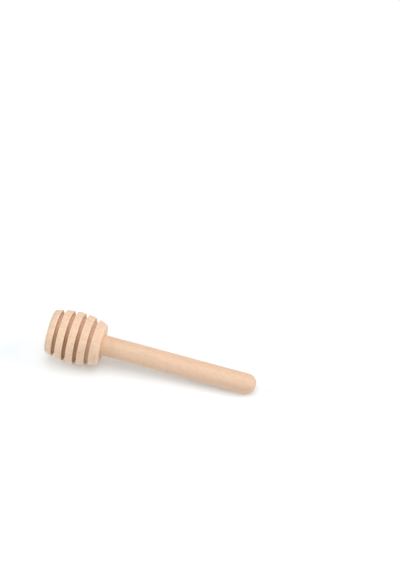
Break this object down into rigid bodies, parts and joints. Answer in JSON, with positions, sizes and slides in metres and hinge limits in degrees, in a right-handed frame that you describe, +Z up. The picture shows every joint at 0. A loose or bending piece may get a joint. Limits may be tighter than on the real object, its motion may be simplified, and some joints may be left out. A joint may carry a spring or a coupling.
{
  "type": "honey dipper",
  "caption": "Small turned wooden honey dipper: a grooved barrel head that holds honey, glued on a plain round handle with a rounded end.",
  "frame": {"origin": "middle of the footprint at table height, with the dipper lying on its side as in the picture: on one ring of the head and on the rounded end of the handle", "axes": "+X along the dipper from the head to the handle's free end, +Z up from the table. The dipper's own axis slopes down towards +X by 5.2 degrees, because the head is wider than the handle"},
  "size_m": [0.0804, 0.0198, 0.0199],
  "materials": {
    "head_wood": "sanded, unfinished",
    "handle_wood": "sanded, unfinished",
    "dried_glue": "translucent, dried"
  },
  "bodies": {
    "root": {"head": "head_wood", "handle": "handle_wood", "glue_bond": "dried_glue"}
  },
  "joints": []
}
